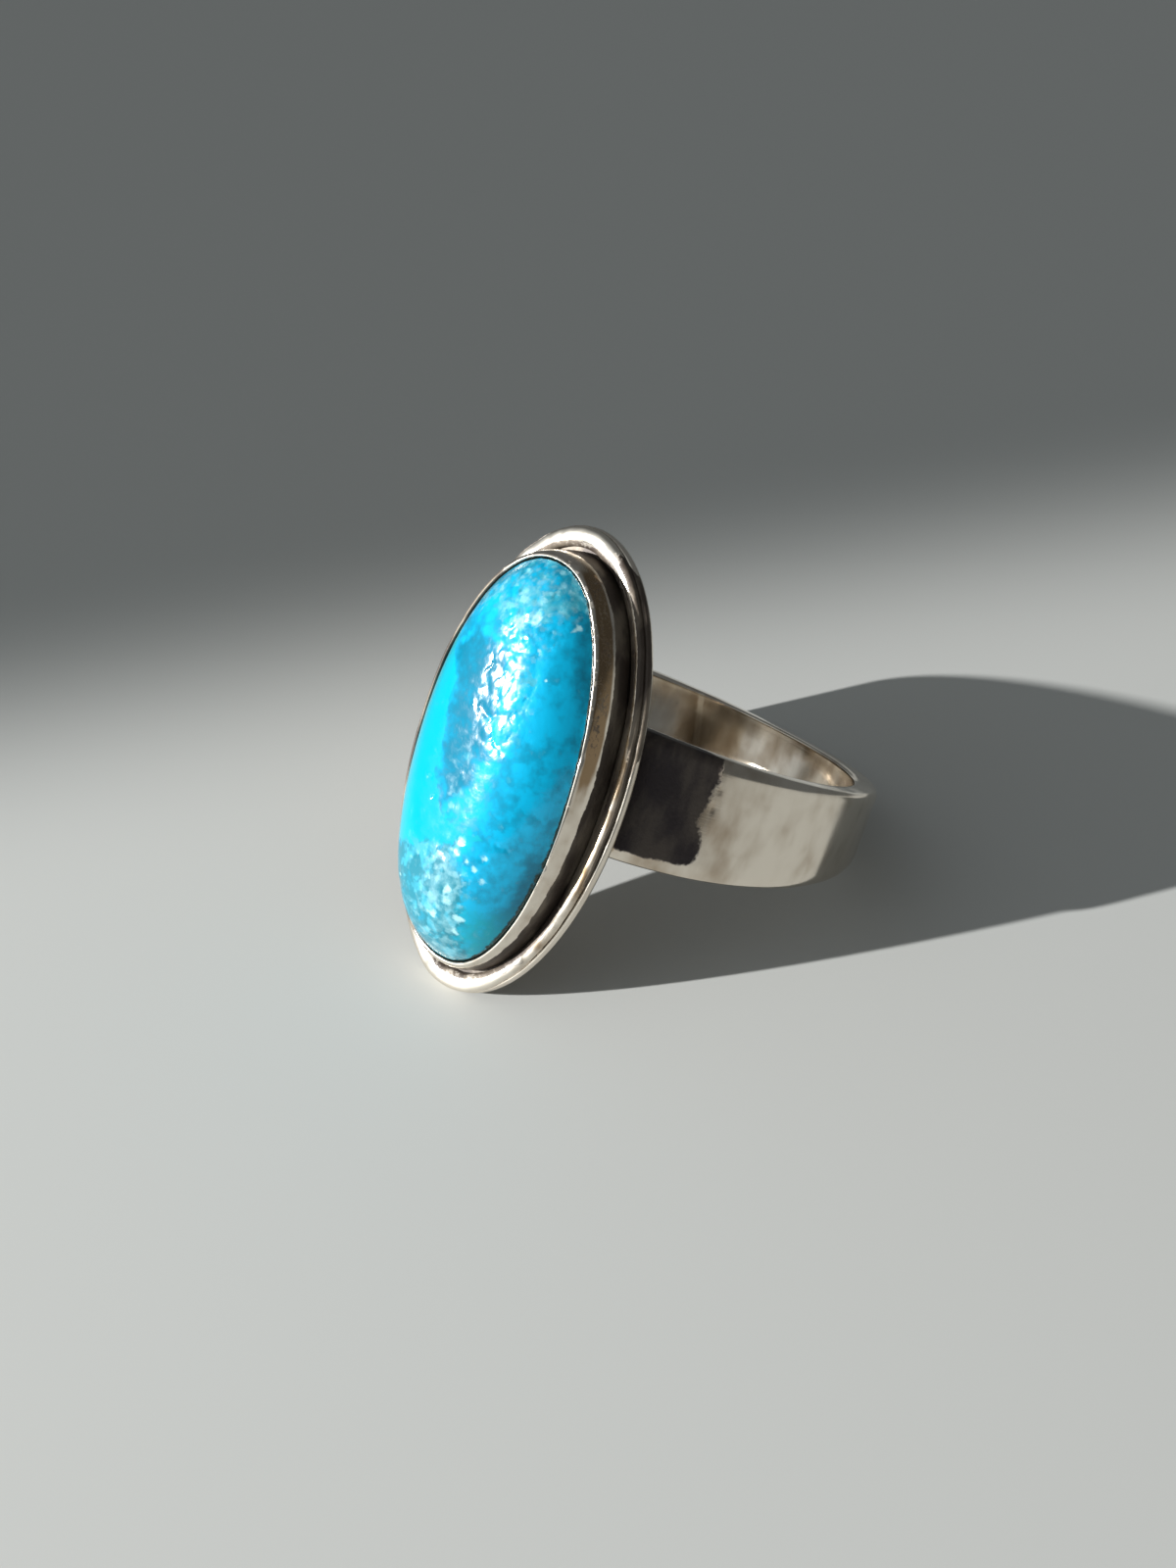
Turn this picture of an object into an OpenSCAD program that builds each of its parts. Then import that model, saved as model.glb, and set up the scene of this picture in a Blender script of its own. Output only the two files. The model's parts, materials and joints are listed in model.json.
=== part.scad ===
// Silver ring with a long oval turquoise, lying on its side as it rests on a table.
// Millimetres. The stone faces -Y and upwards, +Z is up and the table is at z = 0.

/* [Finger hole and band] */
// Inner diameter of the finger hole
finger_d = 18.2; // [16:0.1:21]
// Thickness of the band's sheet
band_t = 1.25; // [1:0.05:1.8]
// Width of the band behind the plate
band_w_plate = 6.3; // [5:0.1:8]
// Width of the band at the back of the finger
band_w_back = 2.4; // [1.8:0.1:4]
// How the width grows from back to plate: 1 is straight, less is fuller
band_fullness = 0.78; // [0.6:0.01:1]

/* [Backplate and rim] */
// Length of the oval plate, along the finger
plate_l = 22.2; // [22:0.1:26]
// Width of the oval plate
plate_w = 12.1; // [12:0.1:15]
// Thickness of the plate
plate_t = 0.4; // [0.4:0.05:0.8]
// How far the plate's middle lies below the band's middle
plate_drop = 0.65; // [0:0.05:1.5]
// How deep the plate is let into the band
plate_sink = 0.3; // [0.15:0.05:0.35]
// Width of the low-domed rim wire at the plate's sides
rim_w_side = 0.75; // [0.5:0.05:0.75]
// Width of the low-domed rim wire at the plate's two tips
rim_w_tip = 0.9; // [0.5:0.05:0.95]
// Height of the rim wire over the plate
rim_h = 0.3; // [0.2:0.05:0.8]
// Flatness of the rim wire's top: 1 is half-round, less is flatter
rim_flatness = 0.5; // [0.3:0.05:1]

/* [Bezel] */
// Length over the bezel's lip
bezel_l = 19.7; // [17:0.1:19.7]
// Width over the bezel's lip
bezel_w = 9.8; // [8:0.1:9.8]
// Fullness of the bezel's outline: 2 is an ellipse, more is squarer
bezel_power = 2.15; // [2:0.05:2.15]
// Height of the bezel over the plate
bezel_h = 2; // [1.6:0.1:3]
// How much higher the lip stands at its upper tip
lip_rise_top = 0.15; // [0:0.05:0.3]
// How much lower the lip lies at its lower tip
lip_fall_low = 0.75; // [0:0.05:0.8]
// Thickness of the bezel's strip
bezel_t = 0.3; // [0.25:0.05:0.4]
// How far the bezel's foot stands out past its lip
bezel_flare = 0.08; // [0:0.01:0.08]
// How far the lip is rubbed down over the stone
lip_lean = 0.14; // [0.05:0.01:0.2]
// Height of the part of the bezel that is rubbed over
lip_h = 0.45; // [0.3:0.05:0.6]
// How far the bezel's middle lies above the plate's middle
bezel_rise = 0; // [-0.05:0.05:0.05]

/* [Stone] */
// Height of the dome over the middle of the bezel's lip
dome_h = 2; // [1:0.1:2.6]
// Roundness of the dome across the stone: 2 is a parabola, more is flatter on top
dome_power_side = 3.4; // [2:0.1:4]
// Roundness of the dome along the stone
dome_power_tip = 3.6; // [2:0.1:6]
// Gap between the stone and the silver
stone_gap = 0.04; // [0.02:0.01:0.08]

/* [Hidden] */

// Ring's own axes: +Z along the finger, the plate towards -Y, the back of the band towards +Y.
finger_r = finger_d / 2;
band_r = finger_r + band_t;
plate_back = band_r - plate_sink;
bezel_z = bezel_rise - plate_drop;
lip_top = plate_t + bezel_h;
oval_steps = 96;
rim_steps = 8;
taper_steps = 14;
// How much closer together the taper's places lie near the back, where it bends most.
taper_crowding = 1.6;
extra = 1;

// The ring rests on the plate's lower tip and on the back of the band.
tip_z = plate_l / 2 + plate_drop;
tilt = atan2(tip_z - band_w_back / 2, plate_back + band_r);
lift = band_r * sin(tilt) + band_w_back / 2 * cos(tilt);

// Half the band's width at a place along Y.
function half_width(y) =
    let (share = (1 - y / band_r) / 2)
    (band_w_back + (band_w_plate - band_w_back) * pow(share, band_fullness)) / 2;

// Width of the rim at an angle round the plate, 90 being a tip; it widens near the tips only.
function rim_w(angle) = rim_w_side + (rim_w_tip - rim_w_side) * pow(sin(angle), 8);

function signed_pow(value, power) = sign(value) * pow(abs(value), power);

// A point beside an oval l long and w wide whose middle is at z:
// out is measured square to the oval, and high is over the plate's back.
function beside_oval(l, w, power, z, angle, out, high) =
    let (across = signed_pow(cos(angle), 2 / power),
         along = signed_pow(sin(angle), 2 / power),
         square = [signed_pow(across, power - 1) / w, signed_pow(along, power - 1) / l],
         unit = square / norm(square))
    [w / 2 * across + out * unit[0], -plate_back - high, z + l / 2 * along + out * unit[1]];

function beside_plate(angle, out, high) = beside_oval(plate_l, plate_w, 2, -plate_drop, angle, out, high);

// How much the lip's height changes from its middle to an angle round the stone.
function lip_change(angle) =
    let (level = sin(angle))
    level * (lip_rise_top + lip_fall_low) / 2 + level * level * (lip_rise_top - lip_fall_low) / 2;

// The bezel's height grows and shrinks with its lip, from the plate up.
function beside_bezel(angle, out, high) =
    let (change = lip_change(angle) * (high - plate_t) / bezel_h)
    beside_oval(bezel_l, bezel_w, bezel_power, bezel_z, angle, out, high + change);

// Half a step of turn puts a flat, not a corner, at the plate's lowest point.
function step_angle(i) = (i + 0.5) * 360 / oval_steps;

// Bezel from its outer foot over the lip to its inner foot:
// [out from the lip's oval, height over the plate's back]
bezel_section = [
    [bezel_flare, plate_t],
    [0, lip_top - lip_h],
    [-lip_lean / 3, lip_top - lip_h / 3],
    [-lip_lean, lip_top],
    [-bezel_t, lip_top],
    [-bezel_t - lip_lean / 2, lip_top - lip_h / 4],
    [-bezel_t, lip_top - lip_h],
    [bezel_flare - bezel_t, plate_t]
];

// Side of the stone under the lip: [out from the lip's oval, height over the plate's back]
girdle_section = [
    [bezel_flare - bezel_t - stone_gap, plate_t + stone_gap],
    [-bezel_t - stone_gap, lip_top - lip_h],
    [-bezel_t - lip_lean / 2 - stone_gap, lip_top - lip_h / 4]
];

// Places of the dome's rings, as shares of the way from its middle to its edge.
dome_shares = [0.95, 0.88, 0.8, 0.7, 0.58, 0.44, 0.28, 0.12];

function dome_power(angle) = dome_power_side + (dome_power_tip - dome_power_side) * pow(sin(angle), 2);

function dome_point(angle, share) =
    let (foot = girdle_section[2],
         edge = beside_bezel(angle, foot[0], foot[1]),
         drop = pow(share, dome_power(angle)))
    [share * edge[0],
     edge[1] * drop - (plate_back + lip_top + dome_h) * (1 - drop),
     bezel_z + share * (edge[2] - bezel_z)];

// How far along Y a place of the upright ring lies once the ring is tipped over.
function forward(place) = place[1] * cos(tilt) + place[2] * sin(tilt);

// Foremost and rearmost places at rest: the stone's lower slope and the back of the band.
front_y = min([for (share = dome_shares) forward(dome_point(-90, share))]);
back_y = forward([0, band_r, band_w_back / 2]);

// A closed shell through rings of oval_steps points each, with flat ends.
module shell(rings) {
    function at(ring, i) = ring * oval_steps + i % oval_steps;
    sides = [for (ring = [0:len(rings) - 2]) for (i = [0:oval_steps - 1]) each [
        [at(ring, i), at(ring + 1, i), at(ring + 1, i + 1)],
        [at(ring, i), at(ring + 1, i + 1), at(ring, i + 1)]
    ]];
    first = [for (i = [0:oval_steps - 1]) at(0, i)];
    last = [for (i = [oval_steps - 1:-1:0]) at(len(rings) - 1, i)];
    points = [for (ring = rings) each ring];
    polyhedron(points = points, faces = concat([first, last], sides), convexity = 6);
}

// Tips the ring over from its own axes until it rests on the table.
module at_rest() {
    translate([0, -(front_y + back_y) / 2, lift]) rotate([-tilt, 0, 0]) children();
}

// Side outline of the band, cut out across the whole ring.
module taper() {
    places = [for (i = [0:taper_steps]) band_r * (1 - 2 * pow(i / taper_steps, taper_crowding))];
    upper = [for (y = places) [y, half_width(y)]];
    lower = [for (i = [taper_steps:-1:0]) [places[i], -half_width(places[i])]];
    plate_end = [[-band_r - extra, band_w_plate / 2], [-band_r - extra, -band_w_plate / 2]];
    back_end = [[band_r + extra, -band_w_back / 2], [band_r + extra, band_w_back / 2]];
    rotate([90, 0, 90]) linear_extrude(height = 2 * (band_r + extra), center = true)
        polygon(concat(upper, plate_end, lower, back_end));
}

// Tapered band with a true round finger hole.
module band() {
    color("silver") difference() {
        intersection() {
            cylinder(h = band_w_plate + extra, r = band_r, center = true, $fn = 96);
            taper();
        }
        cylinder(h = band_w_plate + 2 * extra, r = finger_r, center = true, $fn = 96);
    }
}

// Backplate, low-domed rim wire and bezel, soldered together.
module setting() {
    angles = [for (i = [0:oval_steps - 1]) step_angle(i)];
    plate_edge = [[for (a = angles) beside_plate(a, 0, 0)]];
    rim = [for (k = [0:rim_steps])
        let (turn = 180 * k / rim_steps,
             share = (1 - cos(turn)) / 2,
             rise = rim_h * pow(sin(turn), rim_flatness))
        [for (a = angles) beside_plate(a, -share * rim_w(a), plate_t + rise)]];
    bezel = [for (row = bezel_section) [for (a = angles) beside_bezel(a, row[0], row[1])]];
    color("silver") shell(concat(plate_edge, rim, bezel));
}

module silver_ring() {
    at_rest() union() {
        band();
        setting();
    }
}

// Oval cabochon with a low dome, held under the bezel's lip.
module turquoise_stone() {
    angles = [for (i = [0:oval_steps - 1]) step_angle(i)];
    girdle = [for (row = girdle_section) [for (a = angles) beside_bezel(a, row[0], row[1])]];
    dome = [for (share = dome_shares) [for (a = angles) dome_point(a, share)]];
    color("deepskyblue") at_rest() shell(concat(girdle, dome));
}

silver_ring();
turquoise_stone();
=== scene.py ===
import json
import math
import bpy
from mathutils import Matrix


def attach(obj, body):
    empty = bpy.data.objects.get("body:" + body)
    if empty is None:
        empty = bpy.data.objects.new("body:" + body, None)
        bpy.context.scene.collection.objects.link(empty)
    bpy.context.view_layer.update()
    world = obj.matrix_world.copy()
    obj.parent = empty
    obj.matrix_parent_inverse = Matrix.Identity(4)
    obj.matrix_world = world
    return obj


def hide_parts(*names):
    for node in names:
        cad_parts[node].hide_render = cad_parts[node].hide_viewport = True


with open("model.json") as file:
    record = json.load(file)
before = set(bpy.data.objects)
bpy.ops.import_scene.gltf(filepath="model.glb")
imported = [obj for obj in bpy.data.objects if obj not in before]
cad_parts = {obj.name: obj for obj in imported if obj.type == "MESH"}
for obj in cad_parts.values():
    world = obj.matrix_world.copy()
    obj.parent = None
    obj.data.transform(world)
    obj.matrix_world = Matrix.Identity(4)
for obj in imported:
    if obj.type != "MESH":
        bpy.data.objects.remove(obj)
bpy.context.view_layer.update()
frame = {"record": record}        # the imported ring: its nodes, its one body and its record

from types import SimpleNamespace

import bmesh
import bpy
import numpy as np
from mathutils import Matrix, Vector, noise

bl_info = {
    "name": "Turquoise ring",
    "version": (1, 0, 0),
    "blender": (4, 5, 0),
    "location": "3D View > Sidebar > Ring",
    "description": "Builds a silver ring with a bezel-set turquoise, its floor, lamp and camera",
    "category": "Object",
}

MM = 0.001

# The ring's own axes, in millimetres: Z along the finger, the plate towards -Y, the band's back towards +Y.
# Everything is modelled there, and SEAT lays the finished meshes down as the ring rests on the floor.
FINGER_HOLE = next(mount for mount in frame["record"]["mounts"] if mount["name"] == "finger_bore")
AXIS = Vector(FINGER_HOLE["axis"]).normalized()
TILT = math.atan2(AXIS.y, AXIS.z)
SEAT = Matrix.Translation(FINGER_HOLE["pos_m"]) @ Matrix.Rotation(-TILT, 4, "X") @ Matrix.Scale(MM, 4)


def linear(hex_colour):
    """A linear colour from an sRGB hex value such as "#00a8d8"."""
    shares = [int(hex_colour[i:i + 2], 16) / 255 for i in (1, 3, 5)]
    return tuple(s / 12.92 if s <= 0.04045 else ((s + 0.055) / 1.055) ** 2.4 for s in shares)


def length(description, size_mm):
    """A property that holds a length, given in millimetres and kept in metres."""
    return bpy.props.FloatProperty(description=description, default=size_mm * MM, unit="LENGTH")


def number(description, value):
    return bpy.props.FloatProperty(description=description, default=value)


def colour(description, hex_colour):
    """A property that holds a colour, given as an sRGB hex value."""
    return bpy.props.FloatVectorProperty(
        description=description, default=linear(hex_colour), size=3, min=0, max=1, subtype="COLOR"
    )


class BandSettings(bpy.types.PropertyGroup):
    """The tapered band."""

    finger_width: length("Inner diameter of the band", 2 * FINGER_HOLE["dims"]["r_mm"])
    thickness: length("Thickness of the silver sheet", 1.25)
    width_at_plate: length("Width of the band behind the plate", 6.3)
    width_at_back: length("Width of the band at the back of the finger", 2.4)
    fullness: number("How the width grows towards the plate: 1 is straight, less is fuller", 0.78)
    shoulder: length("How far the outer edges are rounded over near the plate", 0.6)
    wear: length("How far hand work and wear move the surface", 0.02)


class SettingSettings(bpy.types.PropertyGroup):
    """The backplate, the rim wire and the bezel."""

    plate_length: length("Length of the oval backplate", 22.2)
    plate_width: length("Width of the oval backplate", 12.1)
    plate_thickness: length("Thickness of the backplate", 0.4)
    plate_drop: length("How far the plate's middle lies below the band's middle", 0.65)
    plate_sink: length("How deep the plate is let into the band", 0.3)
    rim_width: length("Width of the rim wire at the plate's sides", 0.62)
    rim_height: length("Height of the rim wire over the plate", 0.3)
    rim_inset: length("How far the rim wire lies inside the plate's edge at its sides", 0.2)
    rim_swell: number("How much larger the rim wire is at the plate's tips", 0.5)
    bezel_length: length("Length over the bezel's lip", 19.7)
    bezel_width: length("Width over the bezel's lip", 9.8)
    bezel_fullness: number("2 makes the bezel's outline an ellipse, more is squarer", 2.15)
    bezel_height: length("Height of the bezel over the plate", 2)
    lip_rise: length("How much higher the lip stands at its upper tip", 0.15)
    lip_fall: length("How much lower the lip lies at its lower tip", 0.75)


class StoneSettings(bpy.types.PropertyGroup):
    """The turquoise cabochon."""

    dome_height: length("Height of the dome over the middle of the bezel's lip", 2)
    roundness_across: number("2 is a parabola across the stone, more is flatter on top", 3.4)
    roundness_along: number("2 is a parabola along the stone, more is flatter on top", 5.8)
    inset: length("How far the dome's edge lies inside the lip's outline", 0.41)
    crinkle: length("Depth of the uneven polish on top of the dome", 0.11)
    azure: colour("The clean main colour", "#00a3cc")
    cyan: colour("The brighter zone at the left", "#009cae")
    # The teal is also painted shade along the stone's edge.
    teal: colour("The darker patches and the stone's edge", "#006a85")
    # The pale is also partly a painted highlight among the creases.
    pale: colour("The cloudy, mottled parts", "#3499af")
    grey: colour("The greyish mottled end", "#1e7687")
    # The white also paints glints and a streak of highlight on the stone.
    white: colour("The palest spots", "#9fd2da")
    tan: colour("Pits with remains of the host rock", "#83745f")
    # This colour darkens the stone along its edge under the lip and in the crack.
    grime: colour("Dirt that has settled under the lip", "#14302f")


class SilverSettings(bpy.types.PropertyGroup):
    """The finishes of the silver."""

    bright: colour("Burnished silver", "#e9e0d2")
    # The film is tarnish, and on the bezel's upper right also part of a painted dark reflection.
    film: colour("Thin warm brown tarnish", "#967f63")
    # The black is oxide, and also painted shade on the rim wire's right outer flank and painted dark
    # reflection on the bezel.
    black: colour("Brown-black oxide in the groove", "#463c34")
    dust: colour("Paler brown patches of the oxide", "#7d7264")
    # The band's black is partly oxide and partly a painted dark reflection of the plate's back.
    soot: colour("Blacker oxide on the band beside the plate", "#2b2224")


class StageSettings(bpy.types.PropertyGroup):
    """Floor, lamp, surround and camera."""

    floor: colour("Plain pale floor", "#c9cac6")
    surround: colour("Light that comes from all round", "#888c8e")
    base: number("How bright the surround is on the side away from the lamp", 0.46)
    glow: number("How much brighter the surround is towards the lamp", 2.3)
    lamp_power: number("Power of the lamp, in watts", 74)
    lamp_size: length("Width of the lamp: a wider one softens the shadow's edge", 16)
    lens: number("Focal length in millimetres on a 36 mm frame", 54)


class RingSettings(bpy.types.PropertyGroup):
    """All sizes and colours of the ring and its stage."""

    band: bpy.props.PointerProperty(type=BandSettings)
    setting: bpy.props.PointerProperty(type=SettingSettings)
    stone: bpy.props.PointerProperty(type=StoneSettings)
    silver: bpy.props.PointerProperty(type=SilverSettings)
    stage: bpy.props.PointerProperty(type=StageSettings)


def sizes_mm(group):
    """A group's settings by name, its lengths in millimetres."""
    found = {}
    for prop in group.bl_rna.properties:
        if prop.identifier in ("rna_type", "name"):
            continue
        value = getattr(group, prop.identifier)
        found[prop.identifier] = value / MM if getattr(prop, "unit", "NONE") == "LENGTH" else value
    return SimpleNamespace(**found)


# Meshes

def new_object(name, data):
    """Puts an object into the scene that shows a mesh, a light or a camera."""
    made = bpy.data.objects.new(name, data)
    bpy.context.scene.collection.objects.link(made)
    return made


def mesh_from(name, points, faces):
    mesh = bpy.data.meshes.new(name)
    mesh.from_pydata([tuple(p) for p in points], [], faces)
    mesh.update()
    return mesh


def ring_faces(rings, around):
    """Quads between rings of points that follow each other, each ring closed."""
    return [
        (first + i, first + (i + 1) % around, first + around + (i + 1) % around, first + around + i)
        for first in range(0, (rings - 1) * around, around)
        for i in range(around)
    ]


def set_mesh_points(mesh, points):
    mesh.vertices.foreach_set("co", points.ravel())
    mesh.update()


def finish_piece(name, mesh, material, node, slot, axes, **zones):
    """Makes a mesh a piece of the ring, turned from its own axes to the ring's and laid down in the frame.
    A zone holds one number for each point of the mesh, for the material to read."""
    for zone, values in zones.items():
        kept = mesh.attributes.new(zone, "FLOAT", "POINT")
        kept.data.foreach_set("value", np.asarray(values, np.float32))
    mesh.transform(axes)
    mesh.transform(SEAT)
    work = bmesh.new()
    work.from_mesh(mesh)
    bmesh.ops.remove_doubles(work, verts=work.verts, dist=1e-7)
    bmesh.ops.recalc_face_normals(work, faces=work.faces)
    work.to_mesh(mesh)
    work.free()
    mesh.shade_smooth()
    mesh.materials.clear()
    mesh.materials.append(material)
    mesh.name = name
    piece = new_object(name, mesh)
    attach(piece, "root")
    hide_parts(node)
    return piece


def seed_shift(seed):
    """Where in the noise a seed looks, so that two seeds give unlike patterns."""
    return Vector((seed * 7.3, seed * 3.1, seed * 5.7))


def cloud(points, size, seed, octaves=3):
    """Smooth noise from about -1 to 1 at each point, with features of about that size in millimetres."""
    shift = seed_shift(seed)
    return np.array([noise.fractal(Vector(p) / size + shift, 1, 2, octaves) for p in points])


def step(low, high, values):
    """0 below low, 1 above high and smooth between."""
    t = np.clip((np.asarray(values) - low) / (high - low), 0, 1)
    return t * t * (3 - 2 * t)


def far_from_line(points, start, end):
    """How far each point lies from the straight line between two places, in two or three axes."""
    start, way = np.array(start), np.subtract(end, start)
    share = np.clip((points - start) @ way / (way @ way), 0, 1)
    return np.linalg.norm(points - start - share[:, None] * way, axis=1)


# Sweeps

def set_inputs(tree, node, inputs):
    """Sets a node's inputs by name or number, or links them where a node or a socket is given."""
    for key, value in inputs.items():
        value = value.outputs[0] if isinstance(value, bpy.types.Node) else value
        if isinstance(value, bpy.types.NodeSocket):
            tree.links.new(value, node.inputs[key])
        else:
            node.inputs[key].default_value = value


def add_node(tree, kind, inputs=None, **properties):
    """A new node with its properties set, then its inputs."""
    node = tree.nodes.new(kind)
    for name, value in properties.items():
        setattr(node, name, value)
    set_inputs(tree, node, inputs or {})
    return node


def maths(tree, operation, *values, **properties):
    """A maths node with its inputs in order."""
    return add_node(tree, "ShaderNodeMath", dict(enumerate(values)), operation=operation, **properties)


def vector_maths(tree, operation, *values):
    """A maths node for places or colours, with its inputs in order."""
    return add_node(tree, "ShaderNodeVectorMath", dict(enumerate(values)), operation=operation)


def new_sweep_tree(name, numbers):
    """A geometry tree with a section, a finish and named numbers as its inputs."""
    tree = bpy.data.node_groups.new(name, "GeometryNodeTree")
    numbers = (*numbers, "Fullness", "Steps", "Waviness", "Wave size", "Seed")
    kinds = {"Section": "Geometry", "Finish": "Material", **dict.fromkeys(numbers, "Float")}
    for label, kind in kinds.items():
        tree.interface.new_socket(label, in_out="INPUT", socket_type="NodeSocket" + kind)
    tree.interface.new_socket("Swept", in_out="OUTPUT", socket_type="NodeSocketGeometry")
    return tree, tree.nodes.new("NodeGroupInput").outputs, tree.nodes.new("NodeGroupOutput").inputs


def split_places(tree):
    """The x, y and z of the places of a geometry tree's points."""
    return add_node(tree, "ShaderNodeSeparateXYZ", {0: add_node(tree, "GeometryNodeInputPosition")}).outputs


def new_circle(tree, steps, radius):
    return add_node(tree, "GeometryNodeCurvePrimitiveCircle", {"Resolution": steps, "Radius": radius})


def sweep(tree, given, path, size=1):
    section = add_node(tree, "GeometryNodeMeshToCurve", {"Mesh": given["Section"]})
    inputs = {"Curve": path, "Profile Curve": section, "Scale": size}
    return add_node(tree, "GeometryNodeCurveToMesh", inputs)


def end_sweep(tree, swept, given, result):
    """Moves the swept points a little, as hand work leaves them, and gives the piece its finish."""
    place = vector_maths(tree, "ADD", add_node(tree, "GeometryNodeInputPosition"), given["Seed"])
    frequency = maths(tree, "DIVIDE", 1, given["Wave size"])
    field = add_node(tree, "ShaderNodeTexNoise", {"Vector": place, "Scale": frequency, "Detail": 2})
    centred = vector_maths(tree, "SUBTRACT", field.outputs["Color"], (0.5, 0.5, 0.5))
    offset = vector_maths(tree, "MULTIPLY", centred, given["Waviness"])
    moved = add_node(tree, "GeometryNodeSetPosition", {"Geometry": swept, "Offset": offset})
    real = add_node(tree, "GeometryNodeRealizeInstances", {0: moved})
    finished = add_node(tree, "GeometryNodeSetMaterial", {"Geometry": real, "Material": given["Finish"]})
    tree.links.new(finished.outputs[0], result["Swept"])


def oval_sweep_tree():
    """Sweeps a section round an oval that lies flat, growing it towards the oval's two tips."""
    tree, given, result = new_sweep_tree("Sweep round an oval", ("Length", "Width", "Swell at tips"))
    half_w = maths(tree, "MULTIPLY", given["Width"], 0.5)
    half_l = maths(tree, "MULTIPLY", given["Length"], 0.5)
    shape = add_node(tree, "ShaderNodeCombineXYZ", {"X": half_w, "Y": half_l, "Z": 1})
    circle = new_circle(tree, given["Steps"], 1)
    # Each of the circle's places has its x and y raised to 2 / fullness, which makes the outline squarer.
    round_place = split_places(tree)
    power = maths(tree, "DIVIDE", 2, given["Fullness"])
    fuller = {}
    for axis in ("X", "Y"):
        raised = maths(tree, "POWER", maths(tree, "ABSOLUTE", round_place[axis]), power)
        fuller[axis] = maths(tree, "MULTIPLY", raised, maths(tree, "SIGN", round_place[axis]))
    full_place = add_node(tree, "ShaderNodeCombineXYZ", fuller)
    full_circle = add_node(tree, "GeometryNodeSetPosition", {"Geometry": circle, "Position": full_place})
    oval = add_node(tree, "GeometryNodeTransform", {"Geometry": full_circle, "Scale": shape})
    along = maths(tree, "DIVIDE", split_places(tree)["Y"], half_l)
    tip = maths(tree, "POWER", along, 8)
    size = maths(tree, "MULTIPLY_ADD", tip, given["Swell at tips"], 1)
    end_sweep(tree, sweep(tree, given, oval, size), given, result)
    return tree


def band_sweep_tree():
    """Sweeps a section round the finger hole and narrows it from the plate to the back."""
    numbers = ("Finger radius", "Outer radius", "Width at plate", "Width at back")
    tree, given, result = new_sweep_tree("Tapered band", numbers)
    swept = sweep(tree, given, new_circle(tree, given["Steps"], given["Finger radius"]))
    place = split_places(tree)
    back = maths(tree, "DIVIDE", place["Y"], given["Outer radius"])
    front = maths(tree, "MULTIPLY_ADD", back, -0.5, 0.5, use_clamp=True)
    fuller = maths(tree, "POWER", front, given["Fullness"])
    growth = maths(tree, "SUBTRACT", given["Width at plate"], given["Width at back"])
    width = maths(tree, "MULTIPLY_ADD", growth, fuller, given["Width at back"])
    height = maths(tree, "MULTIPLY", place["Z"], width)
    tapered = add_node(tree, "ShaderNodeCombineXYZ", {"X": place["X"], "Y": place["Y"], "Z": height})
    narrowed = add_node(tree, "GeometryNodeSetPosition", {"Geometry": swept, "Position": tapered})
    end_sweep(tree, narrowed, given, result)
    return tree


def swept_mesh(tree, outline, finish, **numbers):
    """The plain mesh that a sweep tree makes from a closed outline of (out, up) points, and its points."""
    count = len(outline)
    section = bpy.data.meshes.new("section")
    # A curve's profile lies with its X away from the middle and its Y downwards.
    corners = [(out, -up, 0) for out, up in outline]
    section.from_pydata(corners, [(i, (i + 1) % count) for i in range(count)], [])
    holder = new_object("section", section)
    modifier = holder.modifiers.new("sweep", "NODES")
    modifier.node_group = tree
    sockets = {item.name: item for item in tree.interface.items_tree if item.in_out == "INPUT"}
    modifier[sockets["Finish"].identifier] = finish
    for label, value in numbers.items():
        modifier[sockets[label.replace("_", " ")].identifier] = float(value)
    bpy.context.view_layer.update()
    seen = holder.evaluated_get(bpy.context.evaluated_depsgraph_get())
    mesh = bpy.data.meshes.new_from_object(seen)
    holder.modifiers.remove(modifier)
    bpy.data.objects.remove(holder)
    bpy.data.meshes.remove(section)
    points = np.empty(len(mesh.vertices) * 3)
    mesh.vertices.foreach_get("co", points)
    return mesh, points.reshape(-1, 3)


def corner(out, up, reach_out, reach_up, turn, steps=6):
    """Points of a rounded corner: (out, up) is the sharp corner, turn the angle at which its arc starts."""
    middle_out = out - reach_out * (1 if turn in (0, 270) else -1)
    middle_up = up - reach_up * (1 if turn in (0, 90) else -1)
    angles = [math.radians(turn + 90 * k / steps) for k in range(steps + 1)]
    return [(middle_out + reach_out * math.cos(a), middle_up + reach_up * math.sin(a)) for a in angles]


def between(start, end, steps):
    """Points evenly from start to end, without the two ends."""
    return [tuple(place) for place in np.linspace(start, end, steps + 1)[1:-1]]


# Places on the setting

def setting_axes(setting, band):
    """From the setting's axes (x across, y along the finger, z up from the plate's back) to the ring's."""
    back = band.finger_width / 2 + band.thickness - setting.plate_sink
    return Matrix(((1, 0, 0, 0), (0, 0, -1, -back), (0, 1, 0, -setting.plate_drop), (0, 0, 0, 1)))


# Corners of the outlines from which the distance of a piece's points is measured.
OUTLINE_STEPS = 144


def angles_round(steps):
    return np.linspace(0, 2 * math.pi, steps, endpoint=False)


def beside_oval(length_mm, width_mm, steps, out, fullness):
    """Points beside an oval, moved outwards square to it; a fullness of 2 makes the oval an ellipse."""
    angles = angles_round(steps)
    turned = np.stack([np.cos(angles), np.sin(angles)], 1)
    unit_oval = np.sign(turned) * np.abs(turned) ** (2 / fullness)
    square = np.sign(unit_oval) * np.abs(unit_oval) ** (fullness - 1) / (width_mm, length_mm)
    unit = square / np.linalg.norm(square, axis=1)[:, None]
    return unit_oval * (width_mm / 2, length_mm / 2) + out * unit


def beside_plate(setting, out=0, steps=OUTLINE_STEPS):
    return beside_oval(setting.plate_length, setting.plate_width, steps, out, 2)


def beside_bezel(setting, out=0, steps=OUTLINE_STEPS):
    return beside_oval(setting.bezel_length, setting.bezel_width, steps, out, setting.bezel_fullness)


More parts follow.
